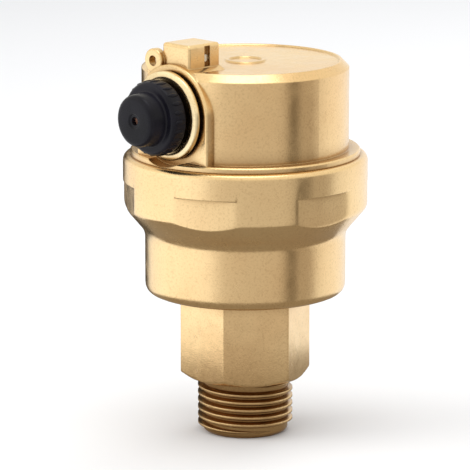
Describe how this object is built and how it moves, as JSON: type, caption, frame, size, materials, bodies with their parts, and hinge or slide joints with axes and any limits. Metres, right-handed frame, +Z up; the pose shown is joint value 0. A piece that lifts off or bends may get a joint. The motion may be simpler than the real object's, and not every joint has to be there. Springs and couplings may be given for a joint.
{
  "type": "automatic air vent",
  "caption": "Brass float-type automatic air vent with a threaded bottom inlet, screwed cover and a capped side outlet.",
  "frame": {"origin": "on the vent's axis in the plane of the hexagon's underside, where the inlet thread begins", "axes": "+Z up the axis, away from the inlet thread; the side outlet points along -Y; +X completes the frame"},
  "size_m": [0.0426, 0.0476, 0.0704],
  "materials": {
    "forged_brass": "satin hot-forged brass",
    "turned_brass": "bright turned brass",
    "stainless_steel": "pressed and drawn",
    "white_plastic": "moulded",
    "black_plastic": "satin moulded",
    "black_rubber": "matt",
    "vulcanised_fibre": "pressed fibre"
  },
  "bodies": {
    "base": {"body": "forged_brass"},
    "cover_carrier": {"cover_seal_ring": "black_rubber"},
    "head": {"cover": "forged_brass", "outlet_seat": "turned_brass", "outlet_seal_ring": "black_rubber", "lever_bracket": "stainless_steel", "bracket_pin": "stainless_steel", "lever_pivot_pin": "stainless_steel", "pivot_clip": "stainless_steel", "valve_spring": "stainless_steel"},
    "float": {"float_cup": "white_plastic", "float_lid": "white_plastic", "float_hook": "stainless_steel"},
    "lever_arm": {"lever": "stainless_steel"},
    "valve": {"valve_stem": "stainless_steel", "seal_holder": "white_plastic", "valve_seal": "black_rubber", "spring_washer": "stainless_steel", "stem_clip": "stainless_steel"},
    "cap_carrier": {"cap_washer": "black_rubber", "swelling_discs": "vulcanised_fibre"},
    "cap": {"vent_cap": "black_plastic"}
  },
  "joints": [
    {"name": "cover_lift", "type": "slide", "parent": "base", "child": "cover_carrier", "axis": [0, 0, 1], "range_m": [0, 0.006]},
    {"name": "cover_turn", "type": "hinge", "parent": "cover_carrier", "child": "head", "pos_m": [0, 0, 0.0395], "axis": [0, 0, 1], "range_deg": [0, 1444]},
    {"name": "float_lift", "type": "slide", "parent": "head", "child": "float", "axis": [0, 0, 1], "range_m": [0, 0.0025]},
    {"name": "lever_swing", "type": "hinge", "parent": "head", "child": "lever_arm", "pos_m": [0, -0.0086, 0.0447], "axis": [1, 0, 0], "range_deg": [0, 16.8]},
    {"name": "valve_travel", "type": "slide", "parent": "head", "child": "valve", "axis": [0, -1, 0], "range_m": [0, 0.00106]},
    {"name": "cap_travel", "type": "slide", "parent": "head", "child": "cap_carrier", "axis": [0, -1, 0], "range_m": [0, 0.002]},
    {"name": "cap_turn", "type": "hinge", "parent": "cap_carrier", "child": "cap", "pos_m": [0, -0.0198, 0.0483], "axis": [0, -1, 0], "range_deg": [0, 722]}
  ],
  "couplings": [
    {"joint": "cover_turn", "follows": "cover_lift", "rad_per_m": 4188.8},
    {"joint": "lever_swing", "follows": "float_lift", "rad_per_m": 116.28},
    {"joint": "valve_travel", "follows": "float_lift", "ratio": 0.4186},
    {"joint": "cap_turn", "follows": "cap_travel", "rad_per_m": 6283.2}
  ]
}
